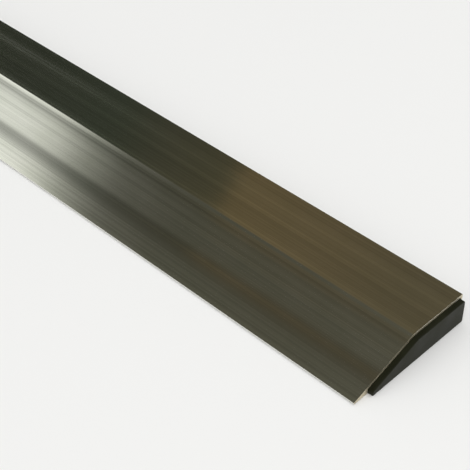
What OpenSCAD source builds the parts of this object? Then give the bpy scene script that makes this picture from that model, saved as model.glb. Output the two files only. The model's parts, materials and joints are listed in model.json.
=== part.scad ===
// Surface-mounted automatic door sweep.
//
// A wedge-shaped weather cover snaps over a carrier that is screwed to the foot of a door. Pressing the
// plunger on the hinge side slides a slotted rail along the carrier, and the rail's inclined slots push a
// bar with a rubber seal out of the lower edge, down to the floor. A spring sends everything back.
//
// The sweep lies on its back. X runs along the door, with the hinge side at -X. +Y is the lower edge, where
// the seal comes out. Z points away from the door, and the door's face is at z = 0.

/* [Length and section] */
// Cut length of the cover and the carrier
length = 930; // [700:10:1230]
// Depth of the section, from the thin edge to the sealing edge
width = 72; // [70:1:80]
// Thickness of the section, away from the door
height = 14; // [14:0.5:18]
// How far the sloping face runs back from the thin edge
slope_run = 37.5; // [34:0.5:40]
// Wall of the cover
wall = 1.2; // [1:0.1:1.4]
// Back plate of the carrier
plate = 2; // [2:0.1:2.2]

/* [Motion] */
// Travel of the plunger, which is also the drop of the seal
travel = 12; // [6:1:12]
// How far the plunger stands out of the hinge end at rest
plunger_out = 14; // [13:1:20]

/* [Ends and fixings] */
// Thickness of the end plugs where they show
flange = 2.6; // [2:0.2:4]
// Diameter of the holes for the door screws
fixing_hole = 4.2; // [3.5:0.1:4.5]
// Spacing of the outer pair of door screws
fixing_span = 840; // [600:10:860]
// Spacing of the inner pair of door screws
fixing_inner_span = 280; // [200:10:400]

/* [Hidden] */

metal = [0.66, 0.65, 0.62];
steel = [0.72, 0.72, 0.74];
black = [0.07, 0.07, 0.07];
nylon = [0.88, 0.87, 0.82];
brass = [0.76, 0.61, 0.34];
rubber = [0.10, 0.10, 0.11];

end_x = length / 2;
front_y = -width / 2;
rear_y = width / 2;
bend_y = front_y + slope_run;
fine = 48; // sides of a drawn circle

// Cover
foot = 0.2;            // the cover stands this far off the door
nose_top = foot + 0.9; // top of the blunt front edge
nose_depth = 8.7;      // the nose is solid this far back
lip_drop = 2.8;        // the rear lip, below the top face
rib_gap = 0.1;         // side clearance of a snap rib
rib_back = 14;         // the clip ribs are milled back this far at each end
pitch = (height - nose_top) / slope_run;
nose_back_y = front_y + nose_depth;

// Height of the cover's underside above the door at y, less a gap square to it
function under_z(y, gap = 0) =
    min(height - wall - gap, nose_top + pitch * (y - front_y) - (wall + gap) * sqrt(1 + pitch * pitch));
// Where the underside stops rising
function under_bend_y(gap = 0) =
    front_y + (height - nose_top - wall - gap + (wall + gap) * sqrt(1 + pitch * pitch)) / pitch;

// Levels of the stack, from the door outwards
axis_y = 4;                     // the line that the posts and the plunger stand on
bush_foot_top = plate + 1.2;
bar_z = bush_foot_top + 0.2;
bar_top = bar_z + 1.8;
pin_shoulder_top = bar_top + 0.6;
rail_z = pin_shoulder_top + 0.1;
rail_top = rail_z + 1.5;
plunger_z = (rail_z + rail_top) / 2;
clip_foot_z = rail_top + 0.2;
clip_foot_top = clip_foot_z + 1;
clip_rib_z = height - 4.2;

// Places along the sweep, as shares of its length
post_x = [for (k = [-3, -1, 1, 3]) k * length / 8];
cam_x = [for (k = [-1, 0, 1]) k * length / 4];

// Snap rib of the carrier
snap_y = front_y + 18.7;
snap_w = 1.2;
fixing_y = front_y + 13.4;

// Rail, bar and pins
rail_w = 23;
rail_end = 65;         // from the ends of the section to the rail's ends
post_r = 3.2;
post_slot_w = 6.7;
pin_r = 2;
pin_slot_w = 4.2;
cam_y = axis_y - travel / 2;
bar_front_y = axis_y - travel - 6.5;
holder_y = axis_y + 12;
holder_d = 8;
holder_top = bar_z + 7.2;
holder_wall = 1.2;
seal_gap = 0.2;
holder_end = 2;        // the holder stops this far short of the end plugs
bar_cut_hinge = 93;    // the bar's plate is cut back here for the plunger
bar_cut_lock = 25;

// Plunger and its line of parts, measured from the hinge end of the section
plunger_r = 3.7;
plunger_bore_gap = 0.1;
stud_r = 2;
plunger_in = 17;
nut_x = -end_x + plunger_in + 0.1;
nut_t = 2.8;
seat_x = -end_x + 21.5;
seat_t = 1.2;
bracket_x = -end_x + 52.4;
bracket_t = 1.2;
coupling_x = bracket_x + bracket_t + 0.3;
coupling_l = 18;
coupling_rivet_x = -end_x + rail_end + 4.5;

// Screws and rivets
screw_r = 1.5;
screw_head_r = 2.8;
rivet_r = 1.5;
skirt = 10;            // how far an end plug reaches into the section
plug_base = 0.9;       // the base of its visible part is this thick,
plug_step = 0.25;      // and this much larger all round than its face
plug_screw_x = end_x - 5;
plug_screw_y = -7;
bracket_rivet_dy = 5.4;

// ---- helpers ----

function unit(v) = v / norm(v);
function flat(p) = [p[0], p[1]];

// Points that round the corner b, between a and c, to radius r
function corner(a, b, c, r, n) =
    r <= 0 ? [b] :
    let (u = unit(a - b), w = unit(c - b), half = acos(u * w) / 2,
         centre = b + unit(u + w) * r / sin(half),
         from = b + u * r / tan(half) - centre,
         to = b + w * r / tan(half) - centre,
         start = atan2(from[1], from[0]),
         swing = atan2(from[0] * to[1] - from[1] * to[0], from * to))
    [for (i = [0:n]) centre + r * [cos(start + swing * i / n), sin(start + swing * i / n)]];

// A closed outline from corners given as [y, z, radius]
function rounded(p, n = 5) =
    let (last = len(p) - 1)
    [for (i = [0:last])
        each corner(flat(p[i == 0 ? last : i - 1]), flat(p[i]), flat(p[i == last ? 0 : i + 1]), p[i][2], n)];

// Extrudes a section drawn in Y and Z along X
module along_x(from, to) {
    translate([from, 0, 0]) rotate([90, 0, 90]) linear_extrude(to - from) children();
}

// A rod along X, centred on the plunger's line
module rod_x(from, to, r) {
    translate([from, axis_y, plunger_z]) rotate([0, 90, 0]) cylinder(h = to - from, r = r, $fn = fine);
}

// An upright cylinder from z = from to z = to
module post(x, y, from, to, r) {
    translate([x, y, from]) cylinder(h = to - from, r = r, $fn = fine);
}

// A flat shape with round ends, from a to b
module slot2d(a, b, w) {
    d = b - a;
    translate(a) circle(d = w, $fn = fine);
    translate(b) circle(d = w, $fn = fine);
    translate((a + b) / 2) rotate(atan2(d[1], d[0])) square([norm(d), w], center = true);
}

// A countersunk screw driven from the back of the carrier, up to z = tip
module back_screw(x, y, tip) {
    difference() {
        union() {
            translate([x, y, 0]) cylinder(h = 1.3, r1 = screw_head_r, r2 = screw_r, $fn = fine);
            post(x, y, 1.3, tip, screw_r);
        }
        for (turn = [0, 90])
            translate([x, y, 0.3]) rotate(turn) cube([3.2, 0.7, 0.8], center = true);
    }
}

// The hole that a back_screw leaves in the carrier
module back_screw_hole(x, y) {
    translate([x, y, -0.01]) cylinder(h = 1.35, r1 = screw_head_r + 0.1, r2 = screw_r + 0.1, $fn = fine);
    post(x, y, -1, plate + 1, screw_r + 0.1);
}

// ---- fixed parts ----

module carrier() {
    hem = 1.2;
    color(metal) difference() {
        union() {
            along_x(-end_x, end_x) polygon(rounded([
                [nose_back_y + 0.2, 0, 0.3], [rear_y - 0.8, 0, 0.3], [rear_y - 0.8, plate + 0.8, 0.3],
                [rear_y - 0.8 - hem, plate + 0.8, 0.3], [rear_y - 0.8 - hem, plate, 0.2],
                [nose_back_y + 0.2, plate, 0.5]]));
            along_x(-end_x, end_x) translate([snap_y, plate - 0.2])
                square([snap_w, under_z(snap_y) - 0.4 - plate + 0.2]);
        }
        for (s = [-1, 1]) {
            fixing(s * fixing_span / 2);
            fixing(s * fixing_inner_span / 2);
            back_screw_hole(s * plug_screw_x, plug_screw_y);
            post(bracket_x - 6, axis_y + s * bracket_rivet_dy, -1, plate + 1, rivet_r);
        }
        for (x = post_x) back_screw_hole(x, axis_y);
    }
}

// A hole for a door screw, countersunk on the inside
module fixing(x) {
    sink = 1.1;
    post(x, fixing_y, -1, plate + 1, fixing_hole / 2);
    translate([x, fixing_y, plate - sink])
        cylinder(h = sink + 0.01, r1 = fixing_hole / 2, r2 = fixing_hole / 2 + sink, $fn = fine);
}

// Outline of the visible part of an end plug: with no inset it fits the inside of the cover
function plug_outline(inset = 0, corner = 0.5) =
    let (front = nose_back_y + 0.2 + inset, rear = rear_y - 1.1 - inset, gap = 0.1 + inset) rounded([
        [front, 0, 0.4], [rear, 0, 0.4], [rear, height - wall - gap, corner],
        [under_bend_y(gap), height - wall - gap, 2], [front, under_z(front, gap), 0.9]]);

// Outline of the skirt that an end plug pushes into the section
function skirt_outline() = [
    [snap_y + 3.6, plate + 0.05], [holder_y - 1.5, plate + 0.05], [holder_y - 1.5, under_z(holder_y, 0.2)],
    [under_bend_y(0.2), under_z(holder_y, 0.2)], [snap_y + 3.6, under_z(snap_y + 3.6, 0.2)]];

// An end plug on the lock side, at +X; the hinge side has its mirror image. Its skirt is hollow beyond
// pocket_y.
module end_plug(pocket_y) {
    side = 1.6;
    pocket_end = holder_y - 1.5 - side;
    along_x(end_x, end_x + plug_base) polygon(plug_outline());
    along_x(end_x, end_x + flange) polygon(plug_outline(plug_step, 1.8));
    difference() {
        along_x(end_x - skirt, end_x + 0.1) polygon(skirt_outline());
        translate([end_x - skirt - 1, pocket_y, plate + side])
            cube([skirt, pocket_end - pocket_y, height - wall - side - plate - side]);
        post(plug_screw_x, plug_screw_y, plate - 1, plate + 5.1, screw_r);
    }
}

module lock_end_plug() { color(black) end_plug(axis_y - 5); }

module hinge_end_plug() {
    color(black) difference() {
        mirror([1, 0, 0]) end_plug(axis_y + plunger_r + 1.6);
        rod_x(-end_x - flange - 1, -end_x + skirt + 1, plunger_r + plunger_bore_gap);
    }
}

module plug_screws() {
    color(steel) for (s = [-1, 1]) back_screw(s * plug_screw_x, plug_screw_y, plate + 5);
}

// Nylon columns that guide both the bar and the rail
module guide_bushes() {
    color(nylon) for (x = post_x) difference() {
        union() {
            post(x, axis_y, plate, bush_foot_top, 5);
            post(x, axis_y, bush_foot_top - 0.1, clip_foot_z, post_r);
        }
        post(x, axis_y, plate - 1, clip_foot_z + 1, screw_r + 0.05);
    }
}

// Nylon heads that hold the rail down, and that the cover's ribs grip
module cover_clips() {
    color(nylon) for (x = post_x) difference() {
        union() {
            post(x, axis_y, clip_foot_z, clip_foot_top, 5);
            post(x, axis_y, clip_foot_top - 0.1, height - wall - 0.9, 2.5);
            translate([x, axis_y, height - wall - 0.9]) cylinder(h = 0.4, r1 = 2.5, r2 = 2.1, $fn = fine);
        }
        post(x, axis_y, clip_foot_z - 1, clip_foot_top + 1.6, screw_r);
    }
}

module post_screws() { color(steel) for (x = post_x) back_screw(x, axis_y, clip_foot_top + 1.5); }

module spring_bracket() {
    foot_l = 11;
    half_w = 7.5;
    color(steel) difference() {
        union() {
            translate([bracket_x, axis_y - half_w, plate]) cube([bracket_t, 2 * half_w, 7.6]);
            translate([bracket_x - foot_l, axis_y - half_w, plate]) cube([foot_l + 0.1, 2 * half_w, bracket_t]);
        }
        rod_x(bracket_x - 1, bracket_x + bracket_t + 1, stud_r + 0.3);
        for (s = [-1, 1])
            post(bracket_x - 6, axis_y + s * bracket_rivet_dy, plate - 1, plate + bracket_t + 1, rivet_r);
    }
}

module bracket_rivets() {
    color(steel) for (s = [-1, 1]) {
        post(bracket_x - 6, axis_y + s * bracket_rivet_dy, 0.1, plate + bracket_t + 0.1, rivet_r);
        translate([bracket_x - 6, axis_y + s * bracket_rivet_dy, plate + bracket_t])
            cylinder(h = 0.7, r1 = 2.1, r2 = 1.5, $fn = fine);
    }
}

// How far along its axis the spring's wire has come after t turns; the first and last turns are closed
function coil_rise(t, turns, run, closed) =
    t < 1 ? closed * t :
    t > turns - 1 ? run - closed * (turns - t) :
    closed + (run - 2 * closed) * (t - 1) / (turns - 2);

// A coil spring: rings of points along a helix whose axis is X
module return_spring() {
    wire_r = 0.45;
    coil_r = 2.9;
    turns = 10;
    steps = 14;
    sides = 6;
    play = 0.05;
    from = seat_x + seat_t + wire_r + play;
    run = bracket_x - wire_r - play - from;
    rings = turns * steps;
    points = [for (i = [0:rings], j = [0:sides - 1])
        let (a = 360 * i / steps, b = 360 * j / sides, r = coil_r + wire_r * cos(b))
        [from + coil_rise(i / steps, turns, run, 2 * wire_r + play) + wire_r * sin(b),
         axis_y + r * cos(a), plunger_z + r * sin(a)]];
    walls = [for (i = [0:rings - 1], j = [0:sides - 1])
        let (k = (j + 1) % sides)
        [i * sides + j, i * sides + k, (i + 1) * sides + k, (i + 1) * sides + j]];
    caps = [[for (j = [sides - 1:-1:0]) j], [for (j = [0:sides - 1]) rings * sides + j]];
    color(steel) polyhedron(points = points, faces = concat(walls, caps), convexity = 10);
}

// ---- cover ----

module cover() {
    leg = 1.2;
    clip_gap = 2.6;
    clip_rib_w = 1;
    color(metal) union() {
        along_x(-end_x, end_x) polygon(rounded([
            [nose_back_y, foot, 0], [front_y, foot, 0.3], [front_y, nose_top, 0.5], [bend_y, height, 2.5],
            [rear_y, height, 0.3], [rear_y, height - lip_drop, 0.3], [rear_y - wall, height - lip_drop, 0.3],
            [rear_y - wall, height - wall, 0.3], [under_bend_y(), height - wall, 1],
            [nose_back_y, under_z(nose_back_y), 0]]));
        // Two legs that grip the carrier's snap rib
        for (y = [snap_y - rib_gap - leg, snap_y + snap_w + rib_gap])
            along_x(-end_x, end_x) polygon([
                [y, plate + 0.3], [y + leg, plate + 0.3], [y + leg, under_z(y + leg) + 0.3],
                [y, under_z(y) + 0.3]]);
        // Two ribs that grip the clips on the posts
        for (y = [axis_y - clip_gap - clip_rib_w, axis_y + clip_gap])
            along_x(-end_x + rib_back, end_x - rib_back) translate([y, clip_rib_z])
                square([clip_rib_w, height - wall / 2 - clip_rib_z - 0.3]);
    }
}

// ---- push rail ----

module push_rail() {
    color(steel) translate([0, 0, rail_z]) linear_extrude(rail_top - rail_z) difference() {
        translate([-end_x + rail_end, axis_y - rail_w / 2]) square([length - 2 * rail_end, rail_w]);
        for (x = post_x) slot2d([x - travel, axis_y], [x, axis_y], post_slot_w);
        for (x = cam_x) slot2d([x - travel, cam_y + travel], [x, cam_y], pin_slot_w);
        for (s = [-1, 1]) translate([coupling_rivet_x, axis_y + s * 2.3]) circle(r = 1.1, $fn = fine);
        for (s = [-1, 1])
            translate([-end_x + rail_end - 1, axis_y + s * 9 - 3.5]) square([8, 7]);
    }
}

module rail_coupling() {
    color(brass) difference() {
        translate([coupling_x, axis_y - 4, plunger_z - 2.7]) cube([coupling_l, 8, 5.4]);
        translate([-end_x + rail_end, axis_y - 5, rail_z]) cube([coupling_l, 10, rail_top - rail_z]);
        rod_x(coupling_x - 1, -end_x + rail_end - 1, stud_r + 0.05);
        for (s = [-1, 1]) post(coupling_rivet_x, axis_y + s * 2.3, plunger_z - 4, plunger_z + 4, 1.1);
    }
}

module coupling_rivets() {
    color(steel) for (s = [-1, 1]) {
        post(coupling_rivet_x, axis_y + s * 2.3, plunger_z - 2.7, plunger_z + 2.7, 1.1);
        translate([coupling_rivet_x, axis_y + s * 2.3, plunger_z + 2.7])
            cylinder(h = 0.15, r1 = 1.5, r2 = 1.2, $fn = fine);
    }
}

module adjusting_stud() { color(steel) rod_x(-end_x + 5, -end_x + rail_end - 1, stud_r); }

module spring_seat() {
    color(steel) difference() {
        rod_x(seat_x, seat_x + seat_t, 3.75);
        rod_x(seat_x - 1, seat_x + seat_t + 1, stud_r + 0.03);
    }
}

module lock_nut() {
    color(steel) difference() {
        translate([nut_x, axis_y, plunger_z]) rotate([0, 90, 0]) rotate(30)
            cylinder(h = nut_t, r = 3.5 / cos(30), $fn = 6);
        rod_x(nut_x - 1, nut_x + nut_t + 1, stud_r + 0.05);
    }
}

module plunger() {
    tip_x = -end_x - flange - plunger_out;
    dome = 1.6;
    back_x = -end_x + plunger_in;
    color(nylon) difference() {
        translate([tip_x, axis_y, plunger_z]) rotate([0, 90, 0]) rotate_extrude($fn = fine)
            polygon(concat([[0, 0]],
                [for (a = [0:15:90]) [plunger_r - dome * (1 - sin(a)), dome * (1 - cos(a))]],
                [[plunger_r, back_x - tip_x], [0, back_x - tip_x]]));
        rod_x(-end_x, back_x + 1, stud_r + 0.05);
        translate([tip_x - 1, axis_y - 0.5, plunger_z - plunger_r]) cube([2.2, 1, 2 * plunger_r]);
    }
}

// ---- drop bar ----

module drop_bar() {
    lip = 1.3;
    color(metal) difference() {
        union() {
            translate([-end_x + bar_cut_hinge, bar_front_y, bar_z])
                cube([length - bar_cut_hinge - bar_cut_lock, holder_y - bar_front_y + 0.2, bar_top - bar_z]);
            along_x(-end_x + holder_end, end_x - holder_end) difference() {
                translate([holder_y, bar_z]) square([holder_d, holder_top - bar_z]);
                translate([holder_y + holder_wall, bar_z + holder_wall])
                    square([holder_d - 2 * holder_wall, holder_top - bar_z - 2 * holder_wall]);
                translate([holder_y + holder_wall, bar_z + holder_wall + lip])
                    square([holder_d, holder_top - bar_z - 2 * (holder_wall + lip)]);
            }
        }
        translate([0, 0, bar_z - 1]) linear_extrude(bar_top - bar_z + 2)
            for (x = post_x) slot2d([x, axis_y - travel], [x, axis_y], post_slot_w);
        for (x = cam_x) post(x, cam_y, bar_z - 1, bar_top + 1, 1.5);
        for (s = [-1, 1]) seal_stop(s, holder_top + 1);
    }
}

module cam_pins() {
    color(steel) for (x = cam_x) difference() {
        union() {
            post(x, cam_y, bar_z, bar_top + 0.1, 1.5);
            post(x, cam_y, bar_top, pin_shoulder_top, 3.4);
            post(x, cam_y, pin_shoulder_top - 0.1, rail_top + 2, pin_r);
        }
        difference() {
            post(x, cam_y, rail_top + 0.7, rail_top + 1.3, pin_r + 1);
            post(x, cam_y, rail_top, rail_top + 2, pin_r - 0.5);
        }
    }
}

module pin_washers() {
    color(nylon) for (x = cam_x) difference() {
        post(x, cam_y, rail_top + 0.1, rail_top + 0.6, 3.9);
        post(x, cam_y, rail_top, rail_top + 1, pin_r + 0.05);
    }
}

module pin_clips() {
    color(steel) for (x = cam_x) difference() {
        post(x, cam_y, rail_top + 0.72, rail_top + 1.28, 3.4);
        post(x, cam_y, rail_top, rail_top + 2, pin_r - 0.47);
        translate([x - 1.2, cam_y, rail_top]) cube([2.4, 5, 2]);
        for (s = [-1, 1]) post(x + s * 1.9, cam_y - 0.7, rail_top, rail_top + 2, 0.6);
    }
}

// Hollow rubber bulb with a root that is held in the bar
module seal_strip() {
    skin = 1.1;
    mid_z = (bar_z + holder_top) / 2;
    bulb_r = 3.8;
    bulb_y = holder_y + holder_d + 0.1;
    nose_y = rear_y - 1.4 - bulb_r;
    color(rubber) along_x(-end_x + 1, end_x - 1) difference() {
        union() {
            translate([holder_y + holder_wall + seal_gap, bar_z + holder_wall + seal_gap])
                square([holder_d - 2 * (holder_wall + seal_gap), holder_top - bar_z - 2 * (holder_wall + seal_gap)]);
            translate([holder_y + holder_d / 2, mid_z - 0.9]) square([holder_d / 2 + 1, 1.8]);
            translate([bulb_y, mid_z - bulb_r]) square([nose_y - bulb_y, 2 * bulb_r]);
            translate([nose_y, mid_z]) circle(r = bulb_r, $fn = fine);
        }
        translate([bulb_y + skin, mid_z - bulb_r + skin])
            square([nose_y - bulb_y - skin, 2 * (bulb_r - skin)]);
        translate([nose_y, mid_z]) circle(r = bulb_r - skin, $fn = fine);
    }
}

// A grub screw near one end of the bar, which pins the seal's root
module seal_stop(side, top) {
    post(side * (end_x - 12), holder_y + 2.6, holder_top - holder_wall - 0.1, top, 1.2);
}

module seal_stops() { color(steel) for (s = [-1, 1]) seal_stop(s, holder_top - 0.1); }

carrier();
lock_end_plug();
hinge_end_plug();
plug_screws();
guide_bushes();
cover_clips();
post_screws();
spring_bracket();
bracket_rivets();
return_spring();
cover();
push_rail();
rail_coupling();
coupling_rivets();
adjusting_stud();
spring_seat();
lock_nut();
plunger();
drop_bar();
cam_pins();
pin_washers();
pin_clips();
seal_strip();
seal_stops();
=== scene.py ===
"""Looks of the door sweep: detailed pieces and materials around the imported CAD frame."""
import json
import math

import bmesh
import bpy
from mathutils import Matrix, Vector


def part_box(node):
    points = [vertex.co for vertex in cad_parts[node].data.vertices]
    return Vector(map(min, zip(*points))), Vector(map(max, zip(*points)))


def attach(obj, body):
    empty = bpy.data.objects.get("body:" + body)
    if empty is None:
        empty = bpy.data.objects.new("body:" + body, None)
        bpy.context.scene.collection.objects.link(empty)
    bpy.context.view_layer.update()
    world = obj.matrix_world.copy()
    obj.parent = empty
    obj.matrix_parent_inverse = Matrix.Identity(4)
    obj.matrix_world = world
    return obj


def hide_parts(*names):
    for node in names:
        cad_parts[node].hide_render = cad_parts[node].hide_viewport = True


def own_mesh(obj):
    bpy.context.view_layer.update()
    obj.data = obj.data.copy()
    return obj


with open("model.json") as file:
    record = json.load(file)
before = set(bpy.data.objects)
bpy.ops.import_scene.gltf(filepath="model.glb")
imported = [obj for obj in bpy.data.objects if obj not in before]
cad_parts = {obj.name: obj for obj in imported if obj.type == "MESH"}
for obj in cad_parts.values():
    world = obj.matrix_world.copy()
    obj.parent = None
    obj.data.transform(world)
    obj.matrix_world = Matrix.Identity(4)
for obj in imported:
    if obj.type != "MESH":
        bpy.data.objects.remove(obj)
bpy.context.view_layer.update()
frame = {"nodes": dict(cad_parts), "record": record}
MM = 0.001

END_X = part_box("cover")[1].x
WALL = 1.2              # mm, thickness of the cover's wall and of the spring bracket
FLOOR_Z = -0.02         # mm, just under the object
FLOOR_REACH = 30        # m
NEAR = 0.01 * MM        # counts as the same place


def middle(node):
    """The middle of a CAD node's box, in mm."""
    low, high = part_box(node)
    return (low + high) / 2 / MM


LINE = middle("adjusting_stud").yz      # (y, z) in mm of the line of the plunger, stud and spring


# ---- camera, floor and light ----

def direction(azimuth, elevation):
    """Unit vector from the object to a viewer; azimuth 0 is at -Y and 90 at +X."""
    a, e = math.radians(azimuth), math.radians(elevation)
    return Vector((math.sin(a) * math.cos(e), -math.cos(a) * math.cos(e), math.sin(e)))


def make_camera():
    """The main camera: it looks down at the end at +X, which is off the picture's middle by two shifts."""
    azimuth, elevation = 44.446, 40.633
    distance = 515.6 * MM
    right_shift, up_shift = 73.88 * MM, -52.98 * MM
    focal = 1210.4 / 470        # in widths of the picture
    sensor = 36
    back = direction(azimuth, elevation)
    right = Vector((math.cos(math.radians(azimuth)), math.sin(math.radians(azimuth)), 0))
    up = back.cross(right)
    data = bpy.data.cameras.new("camera")
    data.sensor_width = sensor
    data.lens = focal * sensor
    data.clip_start = 0.01
    data.clip_end = 20
    camera = bpy.data.objects.new("camera", data)
    camera.location = Vector((END_X, 0, 0)) + back * distance - right * right_shift - up * up_shift
    camera.rotation_mode = "QUATERNION"
    camera.rotation_quaternion = (-back).to_track_quat("-Z", "Y")
    bpy.context.scene.collection.objects.link(camera)
    bpy.context.scene.camera = camera


def area_light(name, place, size, power):
    """A soft white lamp that points at the middle of what the camera sees."""
    target = Vector((0.3, 0, 0))
    data = bpy.data.lights.new(name, "AREA")
    data.shape = "RECTANGLE"
    data.size, data.size_y = size
    data.energy = power
    light = bpy.data.objects.new(name, data)
    light.location = place
    light.rotation_mode = "QUATERNION"
    light.rotation_quaternion = (light.location - target).to_track_quat("Z", "Y")
    bpy.context.scene.collection.objects.link(light)


def world_ramp(tree, value, stops):
    """Colours by (value, colour) stops, for a value from -1 to 1."""
    share = tree.nodes.new("ShaderNodeMapRange")
    ramp = tree.nodes.new("ShaderNodeValToRGB")
    share.inputs["From Min"].default_value = -1
    tree.links.new(value, share.inputs["Value"])
    tree.links.new(share.outputs["Result"], ramp.inputs["Fac"])
    elements = ramp.color_ramp.elements
    while len(elements) < len(stops):
        elements.new(0.5)
    for element, (at, colour) in zip(elements, stops):
        element.position = (at + 1) / 2
        element.color = (*colour, 1)
    return ramp.outputs["Color"]


# What gloss sees, by X of its direction: a bright window at -X and then a dark wall, and towards +Y
# a dark wall and then a brown one
LIT_SIDE = (0.75, (0.42, 0.42, 0.385))
WINDOW = [
    (-0.691, (1.00, 1.03, 0.95)), (-0.668, (0.80, 0.82, 0.74)), (-0.645, (0.32, 0.33, 0.28)),
    (-0.619, (0.13, 0.13, 0.105)), (-0.581, (0.091, 0.090, 0.067)), (-0.55, (0.083, 0.083, 0.060)),
    (-0.48, (0.086, 0.084, 0.060)), (-0.40, (0.096, 0.094, 0.068)), (-0.30, (0.098, 0.094, 0.068)), LIT_SIDE]
BROWN_WALL = [
    (-0.70, (0.033, 0.038, 0.0255)), (-0.637, (0.039, 0.046, 0.030)), (-0.608, (0.054, 0.054, 0.034)),
    (-0.555, (0.071, 0.065, 0.036)), (-0.547, (0.142, 0.108, 0.053)), (-0.468, (0.129, 0.101, 0.053)),
    (-0.40, (0.112, 0.093, 0.052)), (-0.30, (0.118, 0.099, 0.057)), LIT_SIDE]
BROWN_FROM_Y = (0.05, 0.22)


def make_world():
    """A pale studio, paler where the camera looks straight at it, with a room that only gloss sees."""
    world = bpy.data.worlds.new("studio")
    bpy.context.scene.world = world
    world.use_nodes = True
    tree = world.node_tree
    tree.nodes.clear()
    place = tree.nodes.new("ShaderNodeTexCoord")
    split = tree.nodes.new("ShaderNodeSeparateXYZ")
    side = tree.nodes.new("ShaderNodeMapRange")
    blend = tree.nodes.new("ShaderNodeMix")
    room = tree.nodes.new("ShaderNodeBackground")
    pale = tree.nodes.new("ShaderNodeBackground")
    backdrop = tree.nodes.new("ShaderNodeMix")
    ray = tree.nodes.new("ShaderNodeLightPath")
    mix = tree.nodes.new("ShaderNodeMixShader")
    out = tree.nodes.new("ShaderNodeOutputWorld")
    blend.data_type = "RGBA"
    backdrop.data_type = "RGBA"
    side.inputs["From Min"].default_value, side.inputs["From Max"].default_value = BROWN_FROM_Y
    lights_things, seen_directly = (0.74, 0.74, 0.735, 1), (0.90, 0.90, 0.895, 1)
    backdrop.inputs["A"].default_value = lights_things
    backdrop.inputs["B"].default_value = seen_directly
    tree.links.new(place.outputs["Generated"], split.inputs["Vector"])
    tree.links.new(split.outputs["Y"], side.inputs["Value"])
    tree.links.new(side.outputs["Result"], blend.inputs["Factor"])
    tree.links.new(world_ramp(tree, split.outputs["X"], WINDOW), blend.inputs["A"])
    tree.links.new(world_ramp(tree, split.outputs["X"], BROWN_WALL), blend.inputs["B"])
    tree.links.new(blend.outputs["Result"], room.inputs["Color"])
    tree.links.new(ray.outputs["Is Camera Ray"], backdrop.inputs["Factor"])
    tree.links.new(backdrop.outputs["Result"], pale.inputs["Color"])
    tree.links.new(ray.outputs["Is Glossy Ray"], mix.inputs["Fac"])
    tree.links.new(pale.outputs["Background"], mix.inputs[1])
    tree.links.new(room.outputs["Background"], mix.inputs[2])
    tree.links.new(mix.outputs["Shader"], out.inputs["Surface"])


def make_floor():
    """A large pale square just under the object, which isn't part of it."""
    corners = [(x, y, FLOOR_Z * MM) for x, y in (
        (-FLOOR_REACH, -FLOOR_REACH), (FLOOR_REACH, -FLOOR_REACH),
        (FLOOR_REACH, FLOOR_REACH), (-FLOOR_REACH, FLOOR_REACH))]
    mesh = bpy.data.meshes.new("floor")
    mesh.from_pydata(corners, [], [(0, 1, 2, 3)])
    floor = bpy.data.objects.new("floor", mesh)
    bpy.context.scene.collection.objects.link(floor)
    material = bpy.data.materials.new("floor")
    material.use_nodes = True
    shader = material.node_tree.nodes["Principled BSDF"]
    shader.inputs["Base Color"].default_value = (0.86, 0.86, 0.85, 1)
    shader.inputs["Roughness"].default_value = 0.9
    floor.data.materials.append(material)


def make_lights():
    """A large soft lamp in front of the object, and a weaker one behind it."""
    area_light("key", (1.6, -1.4, 2.6), (1.6, 1.6), 26)
    area_light("fill", (0.9, 1.6, 2.4), (1.6, 1.2), 12)


# ---- materials ----

LOW, HIGH = 0.3, 0.7        # the usual range of a noise's values


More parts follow.
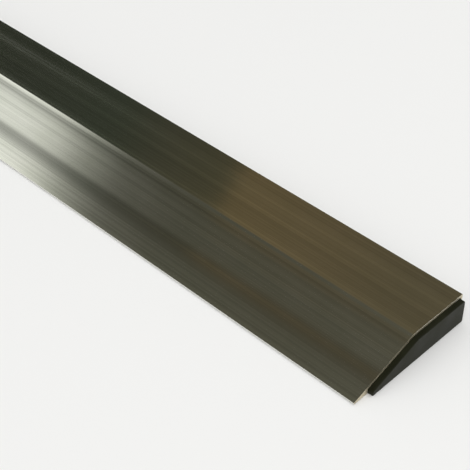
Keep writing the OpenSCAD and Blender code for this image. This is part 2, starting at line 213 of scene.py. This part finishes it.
class Nodes:
    """A new material with a Principled shader, and short calls that add and link nodes."""

    def __init__(self, name):
        self.material = bpy.data.materials.new(name)
        self.material.use_nodes = True
        self.tree = self.material.node_tree
        self.shader = self.tree.nodes["Principled BSDF"]

    def node(self, kind, **settings):
        node = self.tree.nodes.new(kind)
        for key, value in settings.items():
            setattr(node, key, value)
        return node

    def link(self, out, into):
        self.tree.links.new(out, into)

    def set(self, **values):
        for key, value in values.items():
            self.shader.inputs[key.replace("_", " ")].default_value = value

    def coordinates(self, scale):
        """Places on the object, scaled."""
        place = self.node("ShaderNodeTexCoord")
        mapping = self.node("ShaderNodeMapping")
        mapping.inputs["Scale"].default_value = scale
        self.link(place.outputs["Object"], mapping.inputs["Vector"])
        return mapping.outputs["Vector"]

    def noise(self, scale, detail):
        """A cloudy value from 0 to 1, with scale features per metre along X, Y and Z."""
        noise = self.node("ShaderNodeTexNoise")
        noise.inputs["Scale"].default_value = 1.0
        noise.inputs["Detail"].default_value = detail
        self.link(self.coordinates(scale), noise.inputs["Vector"])
        return noise.outputs["Fac"]

    def ramp(self, value, *stops):
        """Colours by (value, colour) stops."""
        ramp = self.node("ShaderNodeValToRGB")
        elements = ramp.color_ramp.elements
        while len(elements) < len(stops):
            elements.new(0.5)
        for element, (position, colour) in zip(elements, stops):
            element.position = position
            element.color = (*colour, 1)
        self.link(value, ramp.inputs["Fac"])
        return ramp.outputs["Color"]

    def span(self, value, low, high, start, end):
        """low to high, in step with a value that goes from start to end."""
        span = self.node("ShaderNodeMapRange")
        span.inputs["From Min"].default_value = start
        span.inputs["From Max"].default_value = end
        span.inputs["To Min"].default_value = low
        span.inputs["To Max"].default_value = high
        self.link(value, span.inputs["Value"])
        return span.outputs["Result"]

    def bump(self, height, distance, normal=None):
        """Surface relief of a height from 0 to 1, over distance in metres."""
        bump = self.node("ShaderNodeBump")
        bump.inputs["Strength"].default_value = 1.0
        bump.inputs["Distance"].default_value = distance
        self.link(height, bump.inputs["Height"])
        if normal is not None:
            self.link(normal, bump.inputs["Normal"])
        return bump.outputs["Normal"]

    def times(self, colour, factor):
        """One colour multiplied by another."""
        product = self.node("ShaderNodeMix", data_type="RGBA", blend_type="MULTIPLY")
        product.inputs["Factor"].default_value = 1.0
        self.link(colour, product.inputs["A"])
        self.link(factor, product.inputs["B"])
        return product.outputs["Result"]

    def along_x(self):
        """The direction of the object's length."""
        vector = self.node("ShaderNodeCombineXYZ")
        vector.inputs["X"].default_value = 1.0
        return vector.outputs["Vector"]


def across(m, stops):
    """A smooth value that depends on Y alone, by (Y in mm, value) stops."""
    low, high = stops[0][0], stops[-1][0]
    place = m.node("ShaderNodeTexCoord")
    split = m.node("ShaderNodeSeparateXYZ")
    m.link(place.outputs["Object"], split.inputs["Vector"])
    share = m.span(split.outputs["Y"], 0, 1, low * MM, high * MM)
    out = m.ramp(share, *[((y - low) / (high - low), (v, v, v)) for y, v in stops])
    out.node.color_ramp.interpolation = "B_SPLINE"
    return out


def heights(leans):
    """Stops of a height from 0 to 1 that gives a surface these leans, and the height's range in mm."""
    rise, at = [0.0], 0.0
    for (y0, lean0), (y1, lean1) in zip(leans, leans[1:]):
        at -= math.radians((lean0 + lean1) / 2) * (y1 - y0)
        rise.append(at)
    low, span = min(rise), max(rise) - min(rise)
    return [(y, (h - low) / span) for (y, _), h in zip(leans, rise)], span


def aluminium(name, tint, leans=None, painted_shades=None):
    """Mill-finish extrusion: die lines along X in colour, roughness and height, any leans by Y in height, and
    any painted light and shade by Y in colour.
    """
    m = Nodes(name)
    m.set(Metallic=1.0, Anisotropic=1.0, Anisotropic_Rotation=0.25)
    fine = m.noise((3.0, 5200, 5200), detail=3)
    lines = m.noise((2.0, 1700, 1700), detail=2)
    broad = m.noise((1.2, 420, 420), detail=2)
    cloud = m.noise((60, 110, 110), detail=3)
    colour = m.ramp(broad, (LOW, tuple(0.88 * c for c in tint)), (HIGH, tint))
    colour = m.times(colour, m.ramp(lines, (LOW, (0.86, 0.86, 0.85)), (HIGH, (1.10, 1.10, 1.09))))
    colour = m.times(colour, m.ramp(cloud, (LOW, (0.93, 0.94, 0.92)), (HIGH, (1.0, 1.0, 1.0))))
    # painted light and shade: bands by Y that darken and lighten the colour in place of reflection
    if painted_shades:
        colour = m.times(colour, across(m, painted_shades))
    m.link(colour, m.shader.inputs["Base Color"])
    m.link(m.span(fine, 0.105, 0.125, LOW, HIGH), m.shader.inputs["Roughness"])
    m.link(m.along_x(), m.shader.inputs["Tangent"])
    normal = m.bump(broad, 0.020 * MM)
    normal = m.bump(fine, 0.002 * MM, normal=normal)
    if leans:
        stops, depth = heights(leans)
        normal = m.bump(across(m, stops), depth * MM, normal=normal)
    m.link(normal, m.shader.inputs["Normal"])
    return m.material


def plastic(name, colour, roughness, gloss=0.5):
    """Moulded plastic or rubber: a fine grain, with a faint mottle in colour and roughness."""
    m = Nodes(name)
    m.set(Specular_IOR_Level=gloss)
    grain = m.noise((2600, 2600, 2600), detail=3)
    mottle = m.noise((90, 90, 90), detail=3)
    dark, light = tuple(0.85 * c for c in colour), tuple(1.15 * c for c in colour)
    colour = m.ramp(mottle, (0.35, dark), (0.65, light))
    m.link(colour, m.shader.inputs["Base Color"])
    m.link(m.span(mottle, roughness - 0.05, roughness + 0.08, LOW, HIGH), m.shader.inputs["Roughness"])
    m.link(m.bump(grain, 0.02 * MM), m.shader.inputs["Normal"])
    return m.material


def steel(name, tint, roughness):
    """Plain or plated metal: cloudy in colour, with a fine grain."""
    m = Nodes(name)
    m.set(Metallic=1.0)
    cloud = m.noise((140, 140, 140), detail=2)
    grain = m.noise((1500, 1500, 1500), detail=3)
    dark = tuple(0.93 * c for c in tint)
    m.link(m.ramp(cloud, (LOW, dark), (HIGH, tint)), m.shader.inputs["Base Color"])
    m.link(m.span(grain, roughness - 0.03, roughness + 0.04, LOW, HIGH), m.shader.inputs["Roughness"])
    m.link(m.bump(grain, 0.004 * MM), m.shader.inputs["Normal"])
    return m.material


def sawn():
    """The cut ends of an extrusion: fine saw marks, lighter and duller than its faces."""
    m = Nodes("sawn_aluminium")
    m.set(Metallic=1.0)
    marks = m.noise((4000, 900, 9000), detail=2)
    dark, light = (0.52, 0.47, 0.35), (0.76, 0.69, 0.53)
    m.link(m.ramp(marks, (LOW, dark), (HIGH, light)), m.shader.inputs["Base Color"])
    m.link(m.span(marks, 0.5, 0.62, LOW, HIGH), m.shader.inputs["Roughness"])
    m.link(m.bump(marks, 0.02 * MM), m.shader.inputs["Normal"])
    return m.material


# Faint stripes along the cover, by Y in mm: its face's lean towards +Y in degrees, and its painted shade, a
# factor on its colour that darkens and lightens bands in place of reflected light
COVER_LEANS = [
    (-36, 0), (-33, -1), (-30.5, -1), (-28.5, 0.5), (-26.5, 1.5), (-24.5, 4), (-22.5, 6.5), (-20.5, 4.5),
    (-18.5, 1.5), (-16.5, 0), (-14, -1), (-12, 0), (-10, 1.5), (-8, 0), (-5, 1), (-3, 3.5), (-1, 5), (0.3, 0),
    (1.8, -6), (3, -6), (4.5, -5), (6.5, 0), (13, 0), (16.5, -4), (19, 0), (21.5, -4), (24, -8), (26, -9),
    (27.5, -8), (29, -2), (31, 0), (36, 0)]
# painted shade and painted highlight bands, as a factor on the cover's colour by Y
COVER_PAINTED_SHADES = [
    (-36, 1.0), (-32, 0.98), (-28, 0.87), (-25.5, 0.84), (-22.5, 0.58), (-19, 0.86), (-14, 0.92), (-7, 0.90),
    (-5, 0.87), (-3.5, 0.74), (-1.5, 0.78), (0.6, 0.98), (1.5, 1.06), (3.5, 1.06), (5.5, 0.88), (10, 0.84),
    (13, 0.86), (16, 0.95), (19, 0.85), (22, 0.92), (24, 0.97), (27, 0.98), (29.5, 0.84), (31, 0.80),
    (36, 0.85)]

MATERIALS = {
    "cover_aluminium": aluminium("cover_aluminium", (0.87, 0.86, 0.83), COVER_LEANS, COVER_PAINTED_SHADES),
    "carrier_aluminium": aluminium("carrier_aluminium", (0.78, 0.78, 0.77)),
    "bar_aluminium": aluminium("bar_aluminium", (0.78, 0.78, 0.77)),
    "rivet_aluminium": steel("rivet_aluminium", (0.80, 0.80, 0.79), 0.3),
    "plug_plastic": plastic("plug_plastic", (0.012, 0.0128, 0.005), 0.45, 0.125),
    "nylon": plastic("nylon", (0.78, 0.76, 0.68), 0.38),
    "zinc_steel": steel("zinc_steel", (0.72, 0.73, 0.75), 0.26),
    "spring_steel": steel("spring_steel", (0.50, 0.50, 0.52), 0.28),
    "brass": steel("brass", (0.80, 0.62, 0.32), 0.25),
    "seal_rubber": plastic("seal_rubber", (0.018, 0.018, 0.018), 0.6),
}
SAWN = sawn()
SLOTS = {part["node"]: part["material_slot"] for part in frame["record"]["subparts"]}
BODY_OF = {node: body for body, nodes in frame["record"]["behaviour"]["bodies"].items() for node in nodes}
EXTRUSIONS = ("cover", "carrier", "drop_bar")


# ---- mesh tools ----

def smooth(obj, angle=32):
    """Smooth shading that keeps flat faces flat and edges over the angle sharp."""
    obj.data.shade_smooth()
    obj.data.set_sharp_from_angle(angle=math.radians(angle))
    weight = obj.modifiers.new("normals", "WEIGHTED_NORMAL")
    weight.keep_sharp = True
    weight.weight = 80


def stand_for(obj, node):
    """obj takes over from a CAD node, on its body and with its material; sawn ends get their own."""
    obj.data.materials.clear()
    obj.data.materials.append(MATERIALS[SLOTS[node]])
    if node in EXTRUSIONS:
        obj.data.materials.append(SAWN)
        for face in obj.data.polygons:
            faces_end = abs(face.normal.x) > 0.8
            face.material_index = 1 if faces_end else 0
    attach(obj, BODY_OF[node])
    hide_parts(node)


def object_from(name, bm):
    """A new object in the scene, from a bmesh that this frees."""
    mesh = bpy.data.meshes.new(name)
    bm.to_mesh(mesh)
    bm.free()
    obj = bpy.data.objects.new(name, mesh)
    bpy.context.scene.collection.objects.link(obj)
    return obj


def finish_mesh(name, bm):
    """A new smooth-shaded object with its faces turned outwards, from a bmesh that this frees."""
    bmesh.ops.recalc_face_normals(bm, faces=bm.faces)
    obj = object_from(name, bm)
    smooth(obj)
    return obj


def whole_faces(node):
    """The CAD node's mesh with its seams welded and its flat faces whole."""
    bm = bmesh.new()
    bm.from_mesh(frame["nodes"][node].data)
    bmesh.ops.remove_doubles(bm, verts=bm.verts, dist=0.002 * MM)
    bmesh.ops.dissolve_limit(bm, angle_limit=math.radians(0.3), verts=bm.verts, edges=bm.edges, delimit=set())
    return bm


def round_edges(bm, bevel, chosen, segments=2):
    """Rounds the sharp edges that chosen(edge) picks, by bevel in mm."""
    limit = math.radians(28)
    sharp = [e for e in bm.edges if len(e.link_faces) == 2 and e.calc_face_angle() > limit and chosen(e)]
    bmesh.ops.bevel(bm, geom=sharp, offset=bevel * MM, offset_type="OFFSET", segments=segments, profile=0.5,
                    affect="EDGES", clamp_overlap=False, miter_outer="ARC")


def refined(node, bevel):
    """The CAD node's own shape with its sharp edges rounded by bevel, in mm."""
    bm = whole_faces(node)
    round_edges(bm, bevel, lambda edge: True)
    stand_for(finish_mesh(node + "_fine", bm), node)


def rounder(point, tip, old, new):
    """Moves a point from the arc of radius old that rounds the corner at tip to one of radius new."""
    y, z = (p - (t - old) for p, t in zip(point, tip))
    outside_arc = min(y, z) < -0.002
    if outside_arc:
        return point
    a = math.atan2(z, y)
    return tip[0] - new + new * math.cos(a), tip[1] - new + new * math.sin(a)


def outline_key(vert):
    """(y, z) of a vertex in mm, rounded so that vertices in one line along X share it."""
    return round(vert.co.y / MM, 3), round(vert.co.z / MM, 3)


def fuller_face(bm, node, face_x):
    """Brings a plug's face out nearly to its base's outline, and gives both one rounded top corner."""
    rear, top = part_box(node)[1].y / MM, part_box(node)[1].z / MM
    inset = 0.25                                # of the face from the base, in CAD
    face_corner, base_corner = 1.8, 0.5         # radii in CAD
    new_face_corner, new_base_corner = 1.45, 1.5
    wider, higher = 1.0055, 1.017               # growth of the face
    bore_reach, bore_top = 6, 11                # nothing of the plunger's bore is further out
    face = {outline_key(v) for v in bm.verts if abs(v.co.x - face_x) < NEAR}
    for vert in bm.verts:
        y, z = vert.co.y / MM, vert.co.z / MM
        in_bore = abs(y - LINE[0]) < bore_reach and z < bore_top
        if in_bore:
            continue
        if outline_key(vert) in face:
            y, z = rounder((y, z), (rear - inset, top - inset), face_corner, new_face_corner)
            y, z = LINE[0] + (y - LINE[0]) * wider, z * higher
        else:
            y, z = rounder((y, z), (rear, top), base_corner, new_base_corner)
        vert.co.y, vert.co.z = y * MM, z * MM


def refined_plug(node):
    """An end plug with a bevel round its proud face, and a base that nearly meets the cover's wall."""
    low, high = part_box(node)
    face_x = high.x if high.x > 0 else low.x
    bm = whole_faces(node)
    fuller_face(bm, node, face_x)
    under_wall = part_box("cover")[1].z - WALL * MM
    cad_gap, gap = 0.12 * MM, 0.02 * MM
    for vert in bm.verts:
        if 0 < under_wall - vert.co.z < cad_gap:
            vert.co.z = under_wall - gap
    bevel, bore_reach = 0.40, 9 * MM

    def on_rim(edge):
        on_face = all(abs(v.co.x - face_x) < NEAR for v in edge.verts)
        near_bore = max(abs(v.co.y) for v in edge.verts) <= bore_reach
        return on_face and not near_bore

    round_edges(bm, bevel, on_rim, segments=3)
    stand_for(finish_mesh(node + "_fine", bm), node)


def make_ring(bm, centre, axis, along, radii):
    """A closed ring of vertices round a line along X or Z, with a radius in mm for each of its sides."""
    verts = []
    for i, radius in enumerate(radii):
        a = 2 * math.pi * i / len(radii)
        u, v = centre[0] + radius * math.cos(a), centre[1] + radius * math.sin(a)
        spot = (along, u, v) if axis == "X" else (u, v, along)
        verts.append(bm.verts.new([c * MM for c in spot]))
    return verts


def turned_rings(bm, profile, centre, axis, sides):
    """Rings of a turned stretch, from (place along the axis, radius) points in mm."""
    return [make_ring(bm, centre, axis, along, [radius] * sides) for along, radius in profile]


def turned(name, profile, sides=64):
    """A solid turned round the plunger's line, from (x, radius) points in mm."""
    bm = bmesh.new()
    skin(bm, turned_rings(bm, profile, LINE, "X", sides))
    return finish_mesh(name, bm)


def skin(bm, rings):
    """Joins closed rings of equal length into a tube and caps its two ends."""
    for low, high in zip(rings, rings[1:]):
        for i in range(len(low)):
            k = (i + 1) % len(low)
            bm.faces.new((low[i], low[k], high[k], high[i]))
    bm.faces.new(rings[0][::-1])
    bm.faces.new(rings[-1])


def arc(centre, radius, start, end, steps):
    """(along, radius) points of an arc of a profile, by angles in degrees."""
    angles = [math.radians(start + (end - start) * i / steps) for i in range(steps + 1)]
    return [(centre[0] + radius * math.cos(a), centre[1] + radius * math.sin(a)) for a in angles]


def thread_rings(bm, start, end, centre, outer, inner, pitch, axis, sides, lead_in, lead_out):
    """Rings of a thread that grows over lead_in, and fades over lead_out to a thinner tip."""
    per_turn, tip_taper, margin = 10, 0.25, 0.05
    count = round((end - start) / pitch * per_turn)
    rings = []
    for i in range(count + 1):
        along = start + (end - start) * i / count
        fade = (end - along + margin) / lead_out
        grown = min(1.0, (along - start + margin) / lead_in, fade)
        root = inner - tip_taper * (1 - min(1.0, fade))
        radii = []
        for j in range(sides):
            phase = (along / pitch - j / sides) % 1.0
            # a ridge with straight flanks, and narrow flats on its crest and root
            crest = min(1.0, max(0.0, 1.35 - abs(2 * phase - 1) * 1.7))
            radii.append(root + (outer - inner) * crest * grown)
        rings.append(make_ring(bm, centre, axis, along, radii))
    return rings


def boolean(obj, other, operation):
    """Applies other to obj, and removes other."""
    step = obj.modifiers.new("boolean", "BOOLEAN")
    step.operation, step.object, step.solver = operation, other, "EXACT"
    bpy.context.view_layer.update()
    made = bpy.data.meshes.new_from_object(obj.evaluated_get(bpy.context.evaluated_depsgraph_get()))
    obj.modifiers.clear()
    obj.data = made
    bpy.data.objects.remove(other)


def rounded_outline(corners, steps=6):
    """A closed (y, z) outline from (y, z, radius) corners."""
    points = []
    for i, (y, z, radius) in enumerate(corners):
        here = Vector((y, z))
        before = Vector(corners[i - 1][:2]) - here
        after = Vector(corners[(i + 1) % len(corners)][:2]) - here
        if radius == 0:
            points.append(here)
            continue
        half = before.angle(after) / 2
        middle_way = (before.normalized() + after.normalized()).normalized()
        centre = here + middle_way * radius / math.sin(half)
        first = here + before.normalized() * radius / math.tan(half) - centre
        swing = before.normalized().angle(after.normalized())
        turn = math.pi - swing
        sign = 1 if first.x * (here - centre).y - first.y * (here - centre).x > 0 else -1
        for k in range(steps + 1):
            a = sign * turn * k / steps
            points.append(centre + Vector((first.x * math.cos(a) - first.y * math.sin(a),
                                           first.x * math.sin(a) + first.y * math.cos(a))))
    return points


def extruded(outlines, start, end):
    """A bmesh of a solid along X, from one outer (y, z) outline and any hollow outlines in mm."""
    bm = bmesh.new()
    ends = [[], []]
    for outline in outlines:
        loops = [[bm.verts.new((x * MM, p[0] * MM, p[1] * MM)) for p in outline] for x in (start, end)]
        for k, loop in enumerate(loops):
            ends[k] += [bm.edges.new((loop[i], loop[(i + 1) % len(loop)])) for i in range(len(loop))]
        for i in range(len(outline)):
            k = (i + 1) % len(outline)
            bm.faces.new((loops[0][i], loops[0][k], loops[1][k], loops[1][i]))
    for edges in ends:
        bmesh.ops.triangle_fill(bm, use_beauty=True, use_dissolve=False, edges=edges)
    return bm


# ---- detailed pieces ----

def make_spring():
    """A coil of drawn wire with closed, ground ends."""
    low, high = (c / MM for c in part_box("return_spring"))
    wire, sides, per_turn, turns = 0.45, 16, 48, 10
    coil = (high.y - low.y) / 2 - wire
    closed = 2 * wire + 0.05        # rise of the first turn and of the last one
    ground = 0.15                   # depth of wire that is ground off at each end
    start, run = low.x + wire - ground, high.x - low.x - 2 * (wire - ground)
    bm = bmesh.new()
    rings = []
    for i in range(turns * per_turn + 1):
        t = i / per_turn
        if t < 1:
            rise = closed * t
        elif t > turns - 1:
            rise = run - closed * (turns - t)
        else:
            rise = closed + (run - 2 * closed) * (t - 1) / (turns - 2)
        a = 2 * math.pi * t
        out = Vector((0, math.cos(a), math.sin(a)))
        section = []
        for j in range(sides):
            b = 2 * math.pi * j / sides
            spot = Vector((start + rise, *LINE)) + out * (coil + wire * math.cos(b))
            spot.x += wire * math.sin(b)
            spot.x = min(max(spot.x, low.x), high.x)
            section.append(bm.verts.new(spot * MM))
        rings.append(section)
    skin(bm, rings)
    spring = finish_mesh("return_spring_coil", bm)
    stand_for(spring, "return_spring")
    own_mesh(spring)


def make_stud():
    """A rod that is threaded from end to end."""
    low, high = (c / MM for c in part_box("adjusting_stud"))
    bm = bmesh.new()
    outer, depth, pitch, lead = (high.y - low.y) / 2, 0.42, 0.7, 0.6
    skin(bm, thread_rings(bm, low.x, high.x, LINE, outer, outer - depth, pitch, "X", 32, lead, lead))
    stand_for(finish_mesh("adjusting_stud_threaded", bm), "adjusting_stud")


def make_nut():
    """A hexagon with 30 degree chamfers on both faces and a chamfered bore."""
    low, high = (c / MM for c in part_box("lock_nut"))
    flats = (high.z - low.z) / 2
    corners = flats / math.cos(math.radians(30))
    outline = [(LINE[0] + corners * math.cos(a), LINE[1] + corners * math.sin(a))
               for a in (math.radians(60 * i) for i in range(6))]
    nut = finish_mesh("lock_nut_chamfered", extruded([outline], low.x, high.x))
    face = flats - 0.1                  # radius of the flat part of each end
    chamfer = (corners - face) * math.tan(math.radians(30))
    chamfers = turned("chamfers", [(low.x, face), (low.x + chamfer, corners), (high.x - chamfer, corners),
                                   (high.x, face)], sides=96)
    boolean(nut, chamfers, "INTERSECT")
    radius, funnel, depth, past = 1.8, 3.15, 0.35, 1
    bore = turned("bore", [(low.x - past, funnel), (low.x + depth, radius), (high.x - depth, radius),
                           (high.x + past, funnel)])
    boolean(nut, bore, "DIFFERENCE")
    smooth(nut, 24)
    stand_for(nut, "lock_nut")


def make_screws(node):
    """Countersunk cross-recess screws that are driven from the back, as one piece."""
    tip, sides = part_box(node)[1].z / MM, 36
    head = [(0.0, 2.45), (0.06, 2.72), (0.22, 2.8), (0.34, 2.72), (1.3, 1.5), (1.9, 1.42), (2.1, 1.12)]
    thread_from, outer, inner, pitch, lead_in, lead_out = 2.2, 1.5, 1.08, 0.9, 0.5, 0.9
    mouth, foot = (-0.2, 1.7, 0.40), (0.9, 0.7, 0.22)       # z, length and half width of the recess's arms
    shanks, recesses = bmesh.new(), bmesh.new()
    for place in screw_places(node):
        rings = turned_rings(shanks, head, place, "Z", sides)
        rings += thread_rings(shanks, thread_from, tip, place, outer, inner, pitch, "Z", sides,
                              lead_in, lead_out)
        skin(shanks, rings)
        skin(recesses, [cross(recesses, place, *arms) for arms in (mouth, foot)])
    screws = finish_mesh(node + "_cross", shanks)
    boolean(screws, finish_mesh("recesses", recesses), "DIFFERENCE")
    smooth(screws, 35)
    stand_for(screws, node)


def cross(bm, place, z, length, half):
    """A ring of vertices with the outline of a cross recess."""
    verts = []
    for k in range(4):
        for u, v in ((length, -half), (length, half), (half, half)):
            for _ in range(k):
                u, v = -v, u
            verts.append(bm.verts.new(((place[0] + u) * MM, (place[1] + v) * MM, z * MM)))
    return verts


def screw_places(node):
    """(x, y) of each screw of a node, from the gaps between its mesh's vertices along X."""
    between_screws = 3
    spots = sorted(v.co.x / MM for v in frame["nodes"][node].data.vertices)
    groups = [[spots[0]]]
    for x in spots[1:]:
        if x - groups[-1][-1] > between_screws:
            groups.append([])
        groups[-1].append(x)
    y = middle(node).y
    return [((g[0] + g[-1]) / 2, y) for g in groups]


def make_plunger():
    """A turned nylon button with a domed end, a screwdriver slot and a blind bore."""
    low, high = (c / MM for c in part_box("plunger"))
    radius, dome, flat = (high.y - low.y) / 2, 1.6, 0.4
    profile = [(low.x, flat)] + arc((low.x + dome, radius - dome), dome, 180, 90, 14)
    profile += [(high.x - 0.4, radius), (high.x - 0.15, radius - 0.1), (high.x, radius - 0.4)]
    plunger = turned("plunger_button", profile, sides=96)
    half_width, depth, past = 0.5, 1.2, 1
    left, right = LINE[0] - half_width, LINE[0] + half_width
    under, over = low.z - past, high.z + past
    outline = [(left, under), (right, under), (right, over), (left, over)]
    slot = finish_mesh("slot", extruded([outline], low.x - past, low.x + depth))
    boolean(plunger, slot, "DIFFERENCE")
    radius, mouth = 2.05, 2.85
    bore_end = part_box("adjusting_stud")[0].x / MM - 5.0     # leaves room for plunger_adjust
    bore = turned("bore", [(bore_end, radius), (high.x - 0.3, radius), (high.x + 0.5, mouth)])
    boolean(plunger, bore, "DIFFERENCE")
    smooth(plunger, 35)
    stand_for(plunger, "plunger")


def make_seal():
    """An extruded bulb seal: a barbed root, a neck, and a hollow bulb with three fine ribs on its nose."""
    low, high = (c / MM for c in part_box("seal_strip"))
    mid, half = (low.z + high.z) / 2, (high.z - low.z) / 2
    nose = high.y - half                # centre of the nose's arc
    heel = high.y - 10.5                # back of the bulb
    barb = low.y + 5.2                  # front of the root
    neck, thick, rib = 0.9, 1.1, 0.2
    tip = []
    for degrees in range(-84, 85, 6):
        a = math.radians(degrees)
        proud = rib if degrees in (-30, 0, 30) else 0
        tip.append((nose + (half - rib) * math.cos(a) + proud, mid + half * math.sin(a)))
    outer = [tuple(p) for p in rounded_outline([
        (nose, mid + half, 0), (heel, mid + half, 1.3), (heel, mid + neck, 0.25), (barb, mid + neck, 0.25),
        (barb, mid + 2.2, 0.5), (low.y, mid + 1.5, 0.5), (low.y, mid - 1.5, 0.5), (barb, mid - 2.2, 0.5),
        (barb, mid - neck, 0.25), (heel, mid - neck, 0.25), (heel, mid - half, 1.3), (nose, mid - half, 0)])]
    inside = half - thick
    hollow = []
    for degrees in range(-90, 91, 9):
        a = math.radians(degrees)
        hollow.append((nose + inside * math.cos(a), mid + inside * math.sin(a)))
    hollow += [tuple(p) for p in rounded_outline([
        (nose, mid + inside, 0), (heel + thick, mid + inside, 0.9), (heel + thick, mid - inside, 0.9),
        (nose, mid - inside, 0)])][1:-1]
    seal = extruded([outer + tip, hollow], low.x, high.x)
    stand_for(finish_mesh("seal_bulb", seal), "seal_strip")


BEVELS = {
    "carrier": 0.10, "cover": 0.06, "guide_bushes": 0.15, "cover_clips": 0.12, "spring_bracket": 0.15,
    "bracket_rivets": 0.15, "push_rail": 0.12, "rail_coupling": 0.15, "coupling_rivets": 0.04,
    "spring_seat": 0.12, "drop_bar": 0.12, "cam_pins": 0.08, "pin_washers": 0.08, "pin_clips": 0.06,
    "seal_stops": 0.12}

make_camera()
make_world()
make_floor()
make_lights()
for node, bevel in BEVELS.items():
    refined(node, bevel)
refined_plug("lock_end_plug")
refined_plug("hinge_end_plug")
make_spring()
make_stud()
make_nut()
make_screws("plug_screws")
make_screws("post_screws")
make_plunger()
make_seal()
bpy.context.scene.view_settings.view_transform = "Standard"
